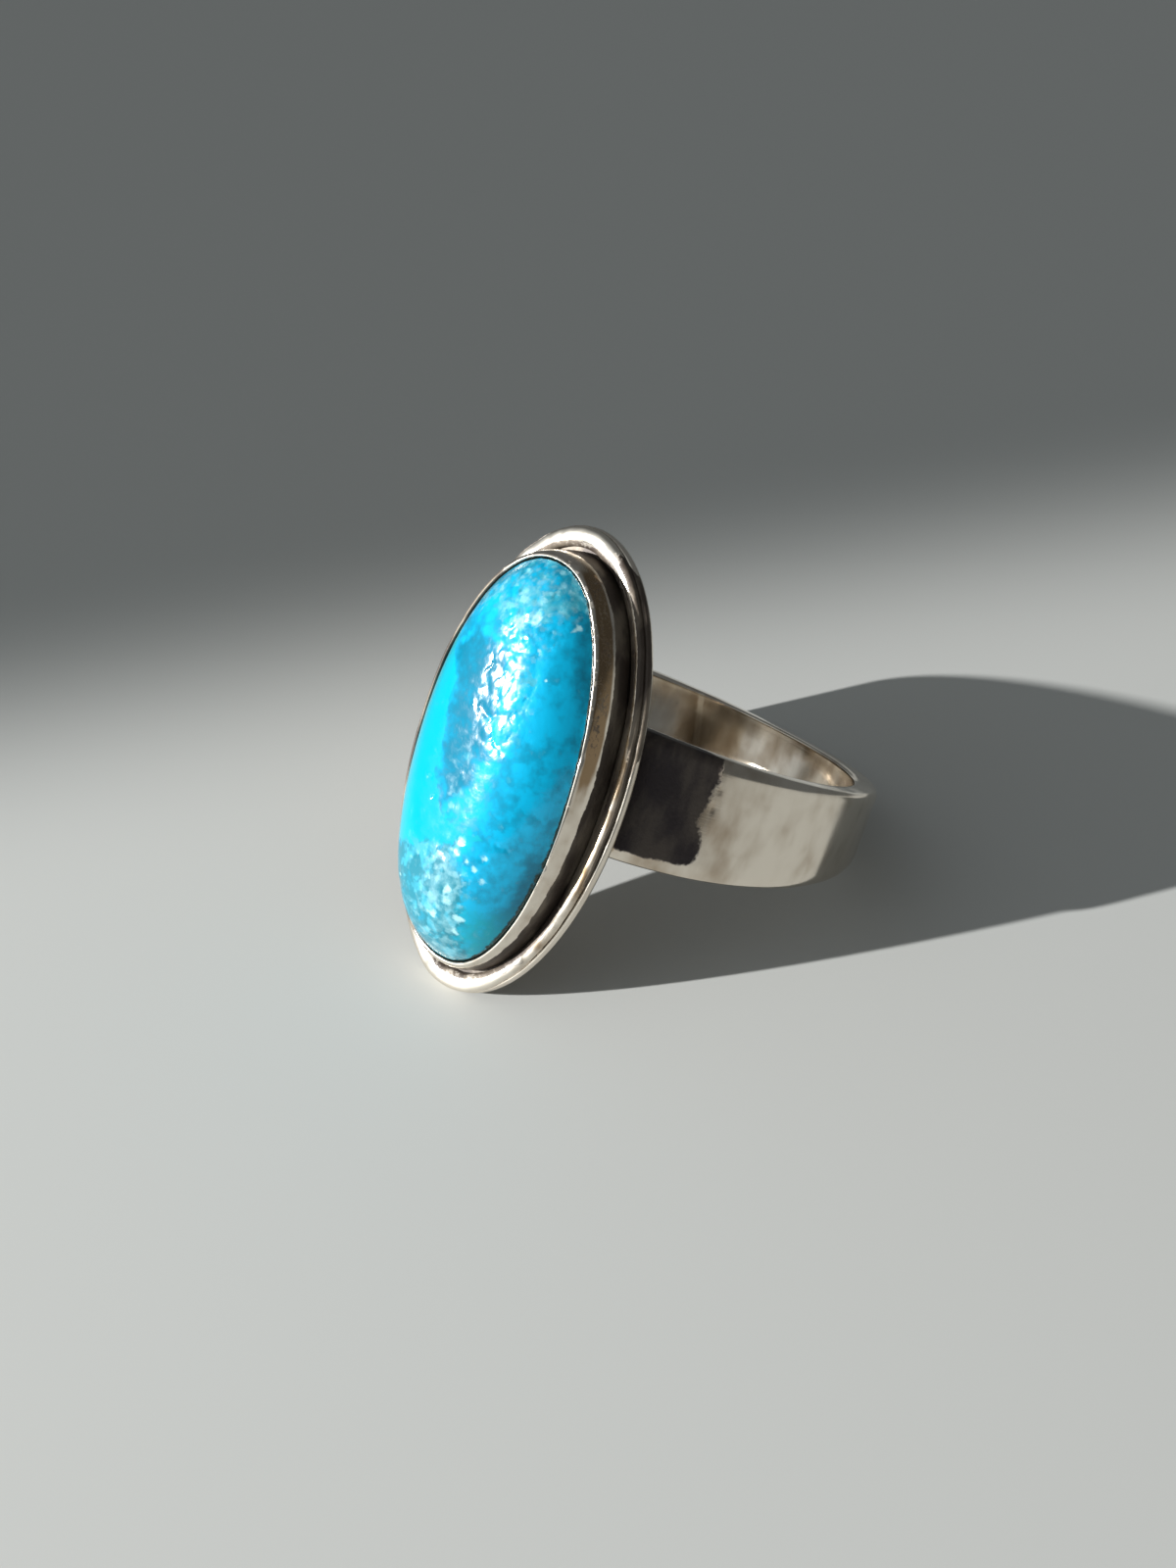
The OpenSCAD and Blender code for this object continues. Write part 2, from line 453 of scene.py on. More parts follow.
def level_ring(outline, high):
    return np.column_stack([outline, np.full(len(outline), high)])


def lip_lift(setting, along, high):
    """How far the bezel's uneven height moves a place; along is its share of the way to the upper tip."""
    slope = (setting.lip_rise + setting.lip_fall) / 2
    bow = (setting.lip_rise - setting.lip_fall) / 2
    level = along * slope + along ** 2 * bow
    return level * (high - setting.plate_thickness) / setting.bezel_height


def inside(outline, points):
    """How far each point lies inside a closed outline of (x, y) corners; negative outside."""
    corners = np.array(outline, float)
    x, y = points.T
    nearest = np.full(len(points), np.inf)
    within = np.zeros(len(points), bool)
    for start, end in zip(corners, np.roll(corners, -1, 0)):
        nearest = np.minimum(nearest, far_from_line(points, start, end))
        if start[1] != end[1]:
            crosses = (start[1] > y) != (end[1] > y)
            edge_x = start[0] + (y - start[1]) / (end[1] - start[1]) * (end[0] - start[0])
            within ^= crosses & (x < edge_x)
    return np.where(within, nearest, -nearest)


# Finishes

def new_material(name):
    """An empty material with its shader, and its Object coordinates turned to the ring's millimetres."""
    material = bpy.data.materials.new(name)
    material.use_nodes = True
    tree = material.node_tree
    tree.nodes.clear()
    shader = add_node(tree, "ShaderNodeBsdfPrincipled")
    add_node(tree, "ShaderNodeOutputMaterial", {"Surface": shader})
    coordinates = add_node(tree, "ShaderNodeTexCoord")
    ring_mm = add_node(tree, "ShaderNodeMapping", {
        "Vector": coordinates.outputs["Object"],
        "Location": FINGER_HOLE["pos_m"],
        "Rotation": (-TILT, 0, 0),
        "Scale": (MM, MM, MM),
    }, vector_type="TEXTURE")
    return material, tree, shader, ring_mm


def mottling(tree, place, size, detail, stretch=None):
    """Noise with features of about that size in millimetres; stretch gives other sizes along x, y and z."""
    if stretch:
        place = vector_maths(tree, "MULTIPLY", place, tuple(1 / s for s in stretch))
    return add_node(tree, "ShaderNodeTexNoise", {"Vector": place, "Scale": 1 / size, "Detail": detail})


def ramp(tree, value, low, high, bottom=0, top=1):
    """Smooth step from bottom to top while the value goes from low to high."""
    return add_node(tree, "ShaderNodeMapRange",
                    {"Value": value, "From Min": low, "From Max": high, "To Min": bottom, "To Max": top},
                    interpolation_type="SMOOTHSTEP")


def blend(tree, factor, a, b):
    """A mix of two colours; a colour is linear numbers or the socket that gives it."""
    a, b = (value if isinstance(value, bpy.types.NodeSocket) else (*value, 1) for value in (a, b))
    return add_node(tree, "ShaderNodeMix", {0: factor, 6: a, 7: b}, data_type="RGBA").outputs[2]


def bump(tree, height, depth_mm, more=None):
    """Relief that only the light sees, about that deep in millimetres."""
    inputs = {"Height": height, "Distance": depth_mm * MM, "Strength": 1, **(more or {})}
    return add_node(tree, "ShaderNodeBump", inputs)


def attribute(tree, name):
    return add_node(tree, "ShaderNodeAttribute", attribute_name=name).outputs["Fac"]


def blotches(tree, place, size, softness):
    """Rounded patches of about that size in millimetres, each with its own value and a wandering border."""
    bend = add_node(tree, "ShaderNodeTexNoise", {"Vector": place, "Scale": 1.6 / size, "Detail": 3})
    bent = vector_maths(tree, "MULTIPLY_ADD", bend.outputs["Color"], (size,) * 3, place)
    inputs = {"Vector": bent, "Scale": 1 / size, "Smoothness": softness}
    cells = add_node(tree, "ShaderNodeTexVoronoi", inputs, feature="SMOOTH_F1")
    return add_node(tree, "ShaderNodeSeparateColor", {0: cells.outputs["Color"]})


def weigh(tree, value, *parts):
    """A value plus parts that are centred on zero, each with its amount, so that a zone's border breaks up.
    A value or part that is given as a word is the mesh's attribute of that name."""
    def found(source):
        return attribute(tree, source) if isinstance(source, str) else source

    total = found(value)
    for source, amount in parts:
        centred = maths(tree, "MULTIPLY_ADD", found(source), amount, -0.5 * amount)
        total = maths(tree, "ADD", total, centred)
    return total


OXIDE_ROUGHNESS = 0.5


def worn_silver(name, silver, darkest, shine, dustiness=1):
    """Silver, hand polished and worn: warm, softly mirroring, with a thin uneven film of tarnish, scratches
    and, where its patina attribute says so, a dull brown-black crust of oxide."""
    material, tree, shader, place = new_material(name)
    broad = mottling(tree, place, 1.6, 4)
    cloudy = mottling(tree, place, 1, 4, (1.2, 1.2, 3.5))
    fine = mottling(tree, place, 0.16, 4)
    # The real scratches are hair-fine, about 0.02 mm; these are drawn 0.05 mm wide so that they show.
    scratches = mottling(tree, place, 1, 2, (2.4, 2.4, 0.05))
    # Besides oxide and tarnish, the patina and film attributes carry painted shade and painted dark
    # reflections and, where the film is taken away, a partly painted glint.
    black = ramp(tree, weigh(tree, "patina", (fine, 0.55), (broad, 0.35)), 0.38, 0.62)
    film = ramp(tree, weigh(tree, "film", (cloudy, 0.8), (broad, 0.4)), 0.1, 1.1)
    filmed = blend(tree, film, silver.bright, silver.film)
    oxide = blend(tree, ramp(tree, cloudy, 0.4, 0.62, 0, dustiness), darkest, silver.dust)
    polish = ramp(tree, cloudy, 0.3, 0.75, shine * 0.75, shine * 1.5)
    dull = ramp(tree, black, 0.3, 1)
    rough = add_node(tree, "ShaderNodeMix", {0: dull, 2: polish, 3: OXIDE_ROUGHNESS}, data_type="FLOAT")
    relief = maths(tree, "MULTIPLY_ADD", scratches, 0.12, cloudy)
    set_inputs(tree, shader, {
        "Base Color": blend(tree, black, filmed, oxide),
        "Metallic": ramp(tree, black, 0, 0.4, 1, 0.25),
        "Roughness": rough,
        "Normal": bump(tree, fine, 0.02, {"Strength": dull, "Normal": bump(tree, relief, 0.008)}),
    })
    return material


def polished_turquoise(stone):
    """Turquoise, cut and polished by hand: an opaque, waxy blue stone with clouds of paler and deeper
    colour, a bright gloss, and pits that hold dull grains of the host rock. The deeper colour along its
    edge is painted shade, and some paleness, glints and a streak among the creases are painted highlight."""
    material, tree, shader, place = new_material("turquoise, hand polished")
    wide = mottling(tree, place, 0.9, 5)
    mid = mottling(tree, place, 0.45, 4)
    fine = mottling(tree, place, 0.16, 3)
    patches = blotches(tree, place, 0.75, 0.35)
    flecks = blotches(tree, place, 0.32, 0.3)
    # The mottled zones' pale cells are about 0.1 mm across; these are drawn at 0.26 mm so that they show.
    cells = blotches(tree, place, 0.26, 0.6)
    # From the bottom up: a zone, what breaks up its border, where it starts and is full, and its strength.
    layers = (
        (wide, ((patches, 0.3), (mid, 0.5)), 0.3, 0.8, 0.55, stone.teal),
        # The second layer holds the darker patches and the painted shade along the stone's edge.
        ("deep", ((wide, 0.9), (mid, 0.6)), 0.05, 1.1, 0.95, stone.teal),
        ("cyan", ((mid, 0.35),), 0.35, 0.65, 1, stone.cyan),
        ("grey", ((wide, 0.6), (flecks, 0.4)), 0.25, 0.85, 1, stone.grey),
        # Among the creases the pale and lace layers are partly a painted highlight.
        ("pale", ((patches, 0.7), (flecks, 0.6), (mid, 0.9)), 0.38, 1, 1, stone.pale),
        ("lace", ((cells, 0.8), (mid, 1.8)), 0.4, 1.9, 0.6, stone.white),
        # The white layer holds pale spots, painted glints and a painted streak of highlight.
        ("white", ((fine, 0.8),), 0.3, 0.9, 1, stone.white),
        ("tan", ((fine, 0.4),), 0.35, 0.65, 1, stone.tan),
        ("grime", ((fine, 0.5),), 0.35, 0.65, 1, stone.grime),
    )
    tone = stone.azure
    for zone, breaks, start, full, strength, layer in layers:
        share = ramp(tree, weigh(tree, zone, *breaks), start, full, 0, strength)
        tone = blend(tree, share, tone, layer)
    # The uneven polish on top is duller than the clean sides.
    rough = weigh(tree, ramp(tree, mid, 0.3, 0.75, 0.17, 0.27), ("grey", 0.08), ("creased", 0.08))
    # The finest unevenness of the polish, about 0.15 mm across and 2 thousandths of a millimetre high.
    relief = bump(tree, fine, 0.004)
    set_inputs(tree, shader, {"Base Color": tone, "Roughness": rough, "Normal": relief, "IOR": 1.61,
                              "Specular IOR Level": 0.36})
    return material


# The pieces

def settings_of(context):
    """The settings of the band and of what is set on it, in millimetres, and the silver's colours."""
    ring = context.scene.turquoise_ring
    return sizes_mm(ring.band), sizes_mm(ring.setting), ring.silver


class RING_OT_band(bpy.types.Operator):
    """Build the tapered band: heavy sheet bent round, its edges rounded over"""

    bl_idname = "ring.band"
    bl_label = "Band"

    steps = 640
    hand_work = {"Wave_size": 3.5, "Seed": 4}
    # How far the inner and outer edges are rounded over, and how much further the lower outer one is.
    inner_edge = 0.28
    outer_edge = 0.34
    lower_shoulder = 1.3
    # Points along the upper edge, the inner face, the lower edge and the outer face.
    edge_steps = (3, 32, 3, 32)
    # Small marks of wear on the outer face, from start to end on the ring's axes, and how far each reaches.
    marks = (
        ((7.93, -6.65, 1.6), (7.99, -6.58, 1.45), 0.16),
        ((7.9, -6.68, 0.75), (7.96, -6.61, 0.55), 0.14),
        ((7.32, -7.32, 0.9), (7.57, -7.06, 1.5), 0.12),
    )
    mark_depth = 0.01
    # The seam on the inner face, from start to end; left bare of tarnish, it is partly a painted glint.
    seam = ((-4.27, 8.03, 1.4), (-3.7, 8.31, -1.4))
    seam_reach = 0.16
    # From bare to black: along the ring's Y, and up from the lower edge as a share of the width.
    oxide_border = (-6.3, -7.2)
    clean_strip = (-0.46, -0.34)
    # From bright to dull, along the ring's Y.
    duller = (-3.5, -6)

    def outline(self, band):
        """Section of the band: out from the finger, and along the finger as a share of the width."""
        wide, inner, outer = band.width_at_plate, self.inner_edge, self.outer_edge
        shoulder = band.shoulder / wide
        corners = [
            corner(band.thickness, 0.5, outer, shoulder, 0, 10),
            corner(0, 0.5, inner, inner / wide, 90),
            corner(0, -0.5, inner, inner / wide, 180),
            corner(band.thickness, -0.5, outer, self.lower_shoulder * shoulder, 270, 10),
        ]
        points = []
        for here, after, count in zip(corners, corners[1:] + corners[:1], self.edge_steps):
            points += here + between(here[-1], after[0], count)
        return points

    def execute(self, context):
        band, _, silver = settings_of(context)
        radius = band.finger_width / 2
        outer = radius + band.thickness
        finish = worn_silver("sterling silver, polished and worn", silver, silver.soot, 0.13, dustiness=0.3)
        mesh, points = swept_mesh(
            band_sweep_tree(), self.outline(band), finish,
            Finger_radius=radius, Outer_radius=outer, Width_at_plate=band.width_at_plate,
            Width_at_back=band.width_at_back, Fullness=band.fullness, Steps=self.steps,
            Waviness=band.wear * 2, **self.hand_work,
        )
        x, y, z = points.T
        out = np.hypot(x, y)
        inner = 1 - step(radius + 0.1, radius + 0.5, out)
        patchy = cloud(points, 1.5, 2)
        front = np.clip(0.5 - y / outer / 2, 0, 1)
        width = band.width_at_back + (band.width_at_plate - band.width_at_back) * front ** band.fullness
        marked = np.zeros(len(points))
        for start, end, reach in self.marks:
            near = step(reach, 0, far_from_line(points, start, end))
            marked = np.maximum(marked, near)
            points[:, :2] *= (1 - self.mark_depth * near / out)[:, None]
        # The seam is left bare of tarnish: a real seam, and partly a painted glint.
        seam = step(self.seam_reach, self.seam_reach / 3, far_from_line(points, *self.seam)) * inner
        set_mesh_points(mesh, points)
        # Oxide lies where the band meets the plate's back, together with a painted dark reflection of the
        # plate's back; thin tarnish lies inside the band.
        near_plate = step(*self.oxide_border, y + 0.3 * patchy) * (1 - inner)
        near_plate *= step(*self.clean_strip, z / width + 0.03 * patchy)
        edge_on = step(0.3, 0.1, np.abs(out - radius)) * step(0.35, 0.45, np.abs(z) / width)
        # The outer face is duller beside the oxide and brighter towards the back, where it rubs.
        beside = step(*self.duller, y) * (1 - inner)
        broken = cloud(points * (1, 1, 0.35), 0.7, 21)
        film = 0.2 + 0.36 * inner + 0.2 * patchy + 0.15 * broken + 0.3 * beside + 0.12 * marked
        finish_piece("band", mesh, finish, "silver_ring", "silver", Matrix(),
                     patina=near_plate + patchy * 0.08, film=film - 0.3 * edge_on - 1.2 * seam)
        return {"FINISHED"}


class RING_OT_backplate(bpy.types.Operator):
    """Build the oval backplate with its filed edge and the solder that holds it on the band"""

    bl_idname = "ring.backplate"
    bl_label = "Backplate"

    steps = 288
    edge_radius = 0.13
    unevenness = 0.012
    solder_reach = 0.45
    solder_height = 0.2
    solder_lap = 0.05
    # Rings of the top and of the back, as shares of the way from the middle to the edge.
    top_shares = (*np.linspace(0.001, 0.72, 8), *np.linspace(0.74, 0.99, 26))
    back_shares = np.linspace(0.985, 0.001, 66)

    def rings_of_points(self, plate):
        """Rings of points from the middle of the top, round the filed edge, to the middle of the back."""
        t, r = plate.plate_thickness, self.edge_radius
        outline = beside_plate(plate, -r, self.steps)
        rings = [level_ring(outline * share, t) for share in self.top_shares]
        for a in np.linspace(0, math.pi, 13):
            high = t / 2 + (t / 2 - r) * np.sign(round(math.cos(a), 6)) + r * math.cos(a)
            edge = beside_plate(plate, r * math.sin(a) - r, self.steps)
            rings.append(level_ring(edge, high))
        return rings + [level_ring(outline * share, 0) for share in self.back_shares]

    def solder(self, plate, band, points):
        """How high the solder stands that creeps out of the joint between the band and the plate's back."""
        outer = band.finger_width / 2 + band.thickness
        half_contact = math.sqrt(outer ** 2 - (outer - plate.plate_sink) ** 2)
        half_band = band.width_at_plate / 2 - self.solder_lap
        from_band = np.abs(points[:, 1] - plate.plate_drop) - half_band
        beyond = np.maximum(np.abs(points[:, 0]) - half_contact, from_band)
        creep = self.solder_reach * (1 + 0.3 * cloud(points, 0.8, 8))
        return self.solder_height * np.clip(1 - np.clip(beyond, 0, None) / creep, 0, 1) ** 2

    def execute(self, context):
        band, plate, silver = settings_of(context)
        rings = self.rings_of_points(plate)
        points = np.concatenate(rings)
        x, y, z = points.T
        # Hand-hammered sheet is a little uneven, on top more than at its filed edge.
        reach = inside(beside_plate(plate, -self.edge_radius, self.steps)[::4], points[:, :2])
        z += self.unevenness * cloud(points, 1.1, 5) * step(0.1, 0.6, reach)
        fillet = self.solder(plate, band, points)
        below = z < plate.plate_thickness / 2
        z -= np.where(below, fillet, 0)
        mesh = mesh_from("backplate", points, ring_faces(len(rings), self.steps))
        # The top is black up to a thin clean edge, which is wider at the tips and gone at the upper right.
        along = np.abs(y) / (plate.plate_length / 2)
        upper_right = step(0.5, 2, x) * step(1, 4, y) * step(11, 9.5, y)
        strip = reach + 0.02 * cloud(points, 0.5, 4) - 0.12 * along ** 6 + 0.3 * upper_right
        channel = np.where(below, 0, step(0, 0.07, strip))
        back = np.where(below, step(0.3, 1.5, reach), 0)
        patina = channel * 0.95 + back * (0.42 + 0.25 * cloud(points, 0.9, 6))
        finish = worn_silver("sterling silver, oxidised sheet", silver, silver.black, 0.2)
        finish_piece("backplate", mesh, finish, "silver_ring", "silver", setting_axes(plate, band),
                     patina=patina, film=0.3 + 0.5 * back)
        return {"FINISHED"}


class RING_OT_rim_wire(bpy.types.Operator):
    """Build the low-domed wire that is soldered round the plate's edge"""

    bl_idname = "ring.rim_wire"
    bl_label = "Rim wire"

    steps = 420
    hand_work = {"Waviness": 0.08, "Wave_size": 1, "Seed": 11}
    flatness = 0.4
    # How deep the wire's flat underside is let into the plate.
    sunk = 0.04
    solder_notch = (4, -7.88)
    notch_reach = 0.3
    notch_depth = 0.06

    def outline(self, setting):
        """Section of the wire: out from its own middle line, and up from the plate's top."""
        half, height = setting.rim_width / 2, setting.rim_height
        angles = np.linspace(0, math.pi, 25)
        domed = [(half * math.cos(a), height * math.sin(a) ** self.flatness) for a in angles]
        return domed + [(half * share, -self.sunk) for share in (-0.7, -0.35, 0, 0.35, 0.7)]

    def execute(self, context):
        band, setting, silver = settings_of(context)
        finish = worn_silver("sterling silver, rim wire", silver, silver.black, 0.2)
        middle = setting.rim_inset + setting.rim_width / 2
        mesh, points = swept_mesh(
            oval_sweep_tree(), self.outline(setting), finish,
            Length=setting.plate_length - 2 * middle, Width=setting.plate_width - 2 * middle, Fullness=2,
            Steps=self.steps, Swell_at_tips=setting.rim_swell, **self.hand_work,
        )
        x, y, z = points.T
        notch = np.hypot(x - self.solder_notch[0], y - self.solder_notch[1])
        z -= self.notch_depth * np.clip(1 - notch / self.notch_reach, 0, 1) * step(0, 0.2, z)
        reach = inside(beside_plate(setting), points[:, :2])
        # Oxide stays in the groove outside the wire, on its inner flank and in streaks on its inner slope.
        along = y / (setting.plate_length / 2)
        tips = along ** 6
        swell = 1 + setting.rim_swell * along ** 8
        # 0 is the wire's outer foot and 1 its inner foot.
        across = 0.5 + (reach - middle) / setting.rim_width / swell
        outer_foot = step(0.16, 0.04, across) * (1 - tips) * step(-6.5, -1, y)
        inner_side = step(0.36 + 0.3 * tips, 0.56 + 0.35 * tips, across)
        right = step(0.5, 2.5, x)
        # Painted shade: the outer flank on the wire's right side, which faces away from the lamp, is
        # painted with the oxide's colour.
        painted_shade_flank = step(0.42, 0.24, across) * right * step(1, 3.5, y)
        patina = np.maximum(outer_foot * 0.9, inner_side * (0.66 - 0.1 * tips))
        patina = np.maximum(patina, painted_shade_flank * 0.75) + 0.1 * cloud(points, 0.7, 3)
        crest_film = right * (1 - tips) * (0.4 + 0.6 * cloud(points, 0.9, 17))
        film = 0.3 + 0.3 * inner_side + crest_film - 0.7 * np.abs(along) ** 3
        z += setting.plate_thickness
        set_mesh_points(mesh, points)
        finish_piece("rim_wire", mesh, finish, "silver_ring", "silver", setting_axes(setting, band),
                     patina=patina, film=film)
        return {"FINISHED"}


class RING_OT_bezel(bpy.types.Operator):
    """Build the bezel, a strip that stands round the stone with its lip rubbed over the stone's edge"""

    bl_idname = "ring.bezel"
    bl_label = "Bezel"

    steps = 448
    hand_work = {"Waviness": 0.05, "Wave_size": 1.6, "Seed": 23}
    # Section from the outer foot over the lip to the inner foot: out from the lip's oval, and up from the
    # plate's back.
    section = (
        (0.08, 0.38), (0.075, 0.6), (0.07, 0.8), (0.065, 1), (0.055, 1.2), (0.045, 1.35), (0.03, 1.5),
        (0.01, 1.65), (-0.01, 1.8), (-0.035, 1.92), (-0.06, 2.03), (-0.085, 2.12), (-0.11, 2.2),
        (-0.135, 2.27), (-0.165, 2.325), (-0.2, 2.365), (-0.24, 2.39), (-0.28, 2.4), (-0.31, 2.395),
        (-0.335, 2.375), (-0.35, 2.34), (-0.36, 2.28), (-0.36, 2.2), (-0.355, 2), (-0.34, 1.6),
        (-0.3, 1.1), (-0.25, 0.7), (-0.22, 0.38),
    )
    # Nicks and dents of the lip: across and along from its middle, how far they reach, how deep they are.
    lip_dents = (
        (4.6, -2.9, 0.35, 0.06), (4.45, -4, 0.3, 0.07), (2.1, 8.4, 0.5, 0.08), (3.3, 7.3, 0.4, 0.05),
        (4.6, 2.2, 0.5, 0.04), (1.5, -9.1, 0.4, 0.04), (-3.9, 5.2, 0.5, 0.05),
    )
    # Height of the line under which the wall has kept its oxide.
    oxide_line = 1.5

    def execute(self, context):
        band, setting, silver = settings_of(context)
        finish = worn_silver("fine silver, bezel strip", silver, silver.black, 0.15)
        mesh, points = swept_mesh(
            oval_sweep_tree(), self.section, finish,
            Length=setting.bezel_length, Width=setting.bezel_width, Fullness=setting.bezel_fullness,
            Steps=self.steps, Swell_at_tips=0, **self.hand_work,
        )
        x, y, z = points.T
        for dent_x, dent_y, reach, depth in self.lip_dents:
            near = np.clip(1 - np.hypot(x - dent_x, y - dent_y) / reach, 0, 1) ** 2
            z -= depth * near * step(1.7, 2.3, z)
        z += lip_lift(setting, y / (setting.bezel_length / 2), z)
        set_mesh_points(mesh, points)
        patchy = cloud(points, 0.8, 9)
        streaky = cloud(points * (1, 1, 0.4), 0.35, 12)
        # The foot keeps its oxide up to an uneven line; the wall over it is polished.
        line = self.oxide_line + 0.05 * patchy + 0.03 * streaky
        foot = 1 - step(-0.08, 0.08, z - line)
        reach = inside(beside_bezel(setting), points[:, :2])
        inner = step(0.33, 0.37, reach)
        # Painted dark reflection: its polished upper right part is painted olive between the lip and a thin
        # bright line.
        upper_right = step(0.5, 2, x) * step(-0.5, 2.5, y)
        olive = upper_right * step(1.62, 1.75, z) * step(0.17, 0.1, reach)
        olive_dark = olive * (0.3 + 0.14 * step(2, 5, y))
        # The left side, below the upper tip, is darkened: partly tarnish, partly a painted dark reflection.
        left = step(-0.8, -2.4, x) * step(9.6, 7.2, y)
        broken_lip = step(2.25, 2.33, z) * step(-0.1, 0.3, cloud(points, 0.45, 33))
        dark = np.maximum.reduce([foot, inner * 0.9, left * 0.85, olive_dark, broken_lip * 0.45])
        finish_piece("bezel", mesh, finish, "silver_ring", "silver", setting_axes(setting, band),
                     patina=dark + 0.06 * patchy, film=0.3 + 0.3 * patchy + 1.2 * olive)
        return {"FINISHED"}


def wrinkles(points, size, seed):
    """Relief of small facets that meet in creases, from 0 to about 1."""
    shift = seed_shift(seed)
    heights = np.empty(len(points))
    for i, point in enumerate(points):
        place = Vector((point[0], point[1], 0)) / size + shift
        facets = []
        for centre in noise.voronoi(place)[1][:3]:
            apart = place - centre
            turn = math.sin(centre.x * 91.7 + centre.y * 37.3) * 40
            tilt = Vector((math.cos(turn), math.sin(turn), 0)) * 0.9
            facets.append(apart.dot(tilt) - 1.1 * apart.length_squared + 0.25 * math.sin(turn * 3))
        heights[i] = max(facets)
    return heights


class RING_OT_cabochon(bpy.types.Operator):
    """Build the turquoise: a low oval dome with an uneven polish, pits and a healed crack"""

    bl_idname = "ring.cabochon"
    bl_label = "Cabochon"

    around = 520
    dome_rings = 130
    # How much closer together the rings lie near the dome's edge, where it bends most; 1 is evenly.
    crowding = 1.25
    # Size of the smallest ring, in the middle, as a share of the outline.
    pole = 0.001
    # Heights over the plate's back: the stone's flat underside, its side's rings and its edge at the lip.
    foot = 0.45
    side_heights = (1, 1.6, 2, 2.15)
    lip = 2.29
    # How much narrower the stone's side is than its edge.
    side_inset = 0.01
    # How far the zones' borders wander, and how wide the large and the small facets of the polish are.
    wander = 0.28
    facets = (0.85, 0.45)
    # Zones, as corners (x, y) in millimetres from the stone's middle.
    cyan_zone = (
        (-4.7, 5.6), (-3.15, 4.75), (-1.95, 3.2), (-1.8, 1.85), (-1.5, 0.25), (-1.3, -1.2), (-0.3, -2.4),
        (1.05, -2.8), (1.6, -2.55), (2.4, -2.65), (1.25, -3.25), (-0.25, -4.05), (-2.15, -4.7),
        (-4.7, -5),
    )
    deep_zone = (
        (-2.2, 5.35), (-1.2, 5.6), (0.5, 5.3), (0.8, 3.55), (0.9, 1.9), (1.1, 0.7), (0.8, -0.9),
        (-0.5, -2.6), (-1.4, 0.2), (-1.75, 1.85), (-1.9, 3.2), (-2.6, 4.65),
    )
    # Painted shade towards the stone's right edge, as corners (x, y).
    right_edge_shade = ((3.1, 6.6), (4.7, 6.6), (4.7, -5.5), (3.3, -5.5), (3.7, -2), (3.6, 2))
    top_zone = (
        (-5, 6.1), (-0.7, 6.6), (1.15, 7), (1.8, 7.25), (2.25, 7.5), (3.2, 8), (2, 9.8), (-5, 9.8),
    )
    lower_left = (
        (-4.7, -5), (-2.15, -4.6), (-0.25, -3.95), (1.2, -3.35), (2, -5), (2, -7.2), (1.8, -9.8),
        (-4.7, -9.8),
    )
    crinkled = (
        (-0.75, 8.2), (1.5, 7.8), (2.05, 6.6), (2.35, 5.05), (2.5, 3.4), (2.45, 1.9), (2, 1.2),
        (0.7, 1.4), (0.1, 2), (-0.3, 3.2), (-0.5, 4.85), (-0.3, 6.2),
    )
    clouds = ((-0.9, 0.6), (0.6, 0.9), (1.5, 0), (1.9, -1.5), (1.6, -2.6), (-0.3, -2.3), (-0.6, -1))
    crack = ((0.4, 6.7), (1.15, 7), (1.8, 7.25), (2.25, 7.5), (2.6, 7.8))
    crack_depth = 0.03
    # Pale spots that are polished over, partly painted glints; those of no depth high on the dome paint a
    # streak of highlight: x, y, how far each reaches, its depth and how pale it looks.
    pale_spots = (
        (1.35, -3.1, 0.28, 0.03, 1), (2.55, -3.5, 0.24, 0.03, 0.9), (2.2, -4.05, 0.25, 0.03, 0.9),
        (2.5, -4.6, 0.3, 0.03, 0.8), (1.8, -3.85, 0.2, 0.03, 0.9), (1.8, -6.8, 0.28, 0.03, 1),
        (1.75, -7.35, 0.3, 0.03, 1), (1.75, 5.9, 0.22, 0.02, 0.8), (2.4, 7.4, 0.25, 0.02, 0.9),
        (2.6, 5.05, 0.15, 0.02, 0.8), (-1.9, -6.3, 0.15, 0.02, 1), (-2, -8.1, 0.15, 0.02, 1),
        (-1.65, -8.75, 0.15, 0.02, 1), (1.1, -5.6, 0.3, 0.03, 0.9), (0.6, -6.9, 0.25, 0.03, 0.9),
        (-0.1, 6.2, 0.5, 0, 0.6), (0.35, 6.7, 0.55, 0, 0.8), (0.95, 7.15, 0.5, 0, 0.7),
        (0.6, 7.9, 0.4, 0, 0.5), (0.1, -5.2, 0.45, 0, 0.5), (1.3, -6.1, 0.45, 0, 0.7),
    )
    # Pits with grains of the host rock: x, y, how far each reaches, its depth and how tan it looks.
    pits = ((3, -2.65, 0.16, 0.04, 0.25), (-1.5, -1.5, 0.22, 0.04, 0.4), (-0.95, -2.05, 0.18, 0.04, 0.35))

    def rings_of_points(self, setting, stone):
        """Rings of points from the middle of the underside to the top of the dome, how many of them lie
        under the dome, and the outline of the dome's edge."""
        edge = beside_bezel(setting, -stone.inset, self.around)
        side = beside_bezel(setting, -stone.inset - self.side_inset, self.around)
        along = edge[:, 1] / (setting.bezel_length / 2)
        rings = [level_ring(side * share, self.foot) for share in (self.pole, 0.5, 0.95, 1)]
        for high in self.side_heights:
            rings.append(np.column_stack([side, high + lip_lift(setting, along, high)]))
        under_dome = len(rings)
        brim = self.lip + lip_lift(setting, along, self.lip)
        top = setting.plate_thickness + setting.bezel_height + stone.dome_height
        towards_tip = np.sin(angles_round(self.around)) ** 2
        power = stone.roundness_across + (stone.roundness_along - stone.roundness_across) * towards_tip
        for k in range(self.dome_rings):
            share = 1 - (1 - self.pole) * (k / (self.dome_rings - 1)) ** self.crowding
            rings.append(np.column_stack([edge * share, brim + (top - brim) * (1 - share ** power)]))
        return rings, under_dome, edge

